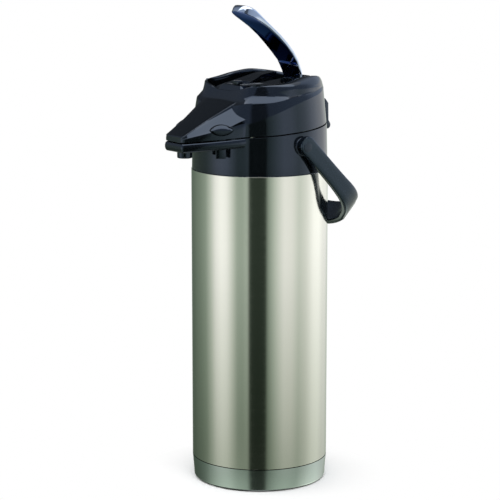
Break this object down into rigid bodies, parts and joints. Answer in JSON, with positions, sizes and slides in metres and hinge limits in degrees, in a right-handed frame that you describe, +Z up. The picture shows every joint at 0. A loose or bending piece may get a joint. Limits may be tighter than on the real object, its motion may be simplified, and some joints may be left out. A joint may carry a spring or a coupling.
{
  "type": "lever airpot",
  "caption": "Steel vacuum airpot with a straight body, black hinged pump lid, chrome pump lever, beak spout over a front nozzle and a swinging carrying bail.",
  "frame": {"origin": "centre of the foot's underside, on the body's axis", "axes": "+Z up, the spout points along -Y, +X to the right of someone who faces the spout"},
  "size_m": [0.1658, 0.2231, 0.5295],
  "materials": {
    "brushed_steel_warm": "brushed stainless steel, slightly warm",
    "brushed_steel_cool": "brushed stainless steel, slightly blue",
    "chrome_plate": "polished chrome plating",
    "black_gloss_plastic": "moulded black plastic with a gloss",
    "black_satin_plastic": "moulded black plastic, satin",
    "grey_moulding": "grey inner mouldings",
    "clear_tube": "clear food-safe tube",
    "black_rubber": "black rubber foot",
    "grey_silicone": "grey silicone"
  },
  "bodies": {
    "pot": {"foot_pad": "black_rubber", "base_cap": "brushed_steel_cool", "base_ring": "brushed_steel_warm", "outer_shell": "brushed_steel_warm", "flask_cushion": "grey_silicone", "flask_floor": "brushed_steel_warm", "flask_wall": "brushed_steel_warm", "flask_neck": "brushed_steel_warm", "neck_ring": "black_gloss_plastic", "neck_gasket": "grey_silicone", "siphon_holder": "black_gloss_plastic", "siphon_tube": "clear_tube", "siphon_seal": "grey_silicone", "collar": "black_gloss_plastic", "hinge_pin": "brushed_steel_warm", "bail_bush_left": "black_gloss_plastic", "bail_bush_right": "black_gloss_plastic"},
    "lid": {"lid_shell": "black_gloss_plastic", "lid_base": "grey_moulding", "lid_plug": "grey_moulding", "bay_pan": "black_gloss_plastic", "hinge_strap": "black_gloss_plastic", "spout_nozzle": "black_gloss_plastic", "delivery_tube": "clear_tube", "bellows_seat": "grey_moulding", "pump_bellows": "grey_silicone", "pump_spring": "brushed_steel_warm", "air_valve": "grey_silicone", "lever_pin": "brushed_steel_warm", "lever_bracket_left": "grey_moulding", "lever_bracket_right": "grey_moulding", "lid_screw_front_left": "brushed_steel_warm", "lid_screw_front_right": "brushed_steel_warm", "lid_screw_rear_left": "brushed_steel_warm", "lid_screw_rear_right": "brushed_steel_warm"},
    "lever": {"pump_lever": "chrome_plate", "lever_crank": "grey_moulding"},
    "plunger": {"pump_plunger": "grey_moulding"},
    "latch_right": {"lid_latch_right": "black_gloss_plastic"},
    "latch_left": {"lid_latch_left": "black_gloss_plastic"},
    "lock": {"lock_slider": "black_gloss_plastic"},
    "bail": {"bail_handle": "black_satin_plastic"}
  },
  "joints": [
    {"name": "lid_hinge", "type": "hinge", "parent": "pot", "child": "lid", "pos_m": [0, 0.079, 0.391], "axis": [-1, 0, 0], "range_deg": [0, 95]},
    {"name": "lever_pivot", "type": "hinge", "parent": "lid", "child": "lever", "pos_m": [0, 0.052, 0.425], "axis": [1, 0, 0], "range_deg": [0, 38], "stiffness_Nm_per_rad": 0.8, "springref_deg": -28.65},
    {"name": "plunger_slide", "type": "slide", "parent": "lid", "child": "plunger", "axis": [0, 0, -1], "range_m": [0, 0.0235], "deforming": ["pump_bellows", "pump_spring"]},
    {"name": "latch_right_press", "type": "slide", "parent": "lid", "child": "latch_right", "axis": [-0.8814, 0.4724, 0], "range_m": [0, 0.003], "stiffness_N_per_m": 300, "springref_m": -0.003},
    {"name": "latch_left_press", "type": "slide", "parent": "lid", "child": "latch_left", "axis": [0.8814, 0.4724, 0], "range_m": [0, 0.003], "stiffness_N_per_m": 300, "springref_m": -0.003},
    {"name": "lock_slide", "type": "slide", "parent": "lid", "child": "lock", "axis": [1, 0, 0], "range_m": [-0.012, 0]},
    {"name": "bail_pivot", "type": "hinge", "parent": "pot", "child": "bail", "pos_m": [0, 0, 0.379], "axis": [-1, 0, 0], "range_deg": [-110, 0]}
  ],
  "couplings": [
    {"joint": "plunger_slide", "follows": "lever_pivot", "m_per_rad": 0.035344}
  ]
}
